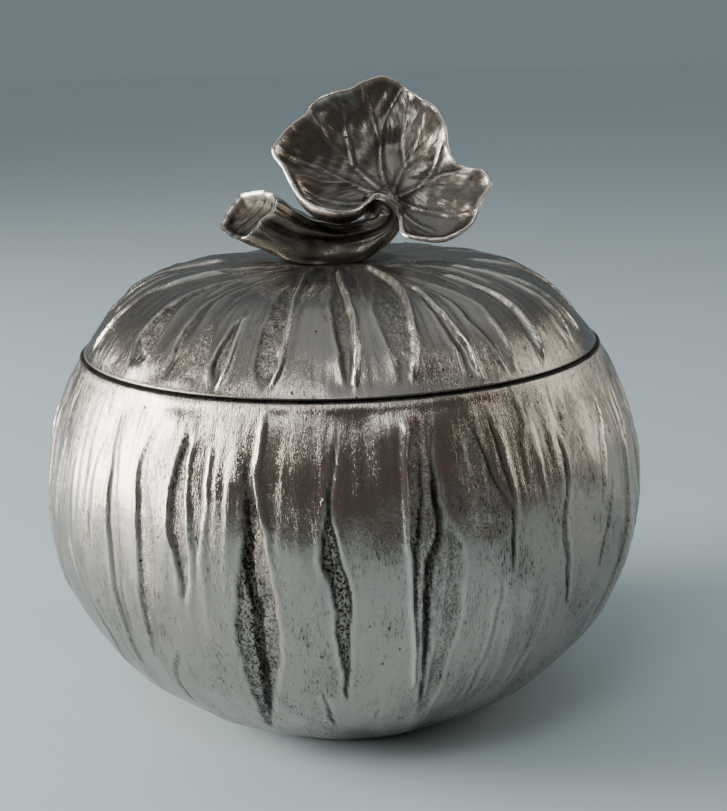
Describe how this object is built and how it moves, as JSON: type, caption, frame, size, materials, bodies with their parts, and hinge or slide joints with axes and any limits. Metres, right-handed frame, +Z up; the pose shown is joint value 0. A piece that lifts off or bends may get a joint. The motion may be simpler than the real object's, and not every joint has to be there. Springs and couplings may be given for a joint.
{
  "type": "lidded sugar bowl",
  "caption": "Lidded pewter sugar bowl shaped as a pumpkin, with a lift-off domed lid whose finial is a cut stem and a cupped leaf.",
  "frame": {"origin": "centre of the flat foot, on the table", "axes": "+Z up through the finial; -Y is the front, from which the leaf is seen; +X to the right, the stem's cut end points to -X"},
  "size_m": [0.12, 0.12, 0.1257],
  "materials": {
    "bowl_pewter": "antiqued cast pewter, hand burnished, dark in the carved grooves",
    "lid_pewter": "antiqued cast pewter, a little darker than the bowl",
    "finial_pewter": "antiqued cast pewter, dark patina, bright worn edges",
    "plain_pewter": "turned pewter, satin",
    "screw_brass": "turned brass, dulled"
  },
  "bodies": {
    "bowl": {"bowl_shell": "bowl_pewter", "base_disc": "plain_pewter"},
    "lid": {"lid_shell": "lid_pewter", "lid_ring": "plain_pewter", "finial_stem": "finial_pewter", "finial_leaf": "finial_pewter", "finial_screw": "screw_brass", "finial_washer": "screw_brass"}
  },
  "joints": [
    {"name": "lid_lift", "type": "slide", "parent": "bowl", "child": "lid", "axis": [0, 0, 1], "range_m": [0, 0.12]}
  ]
}
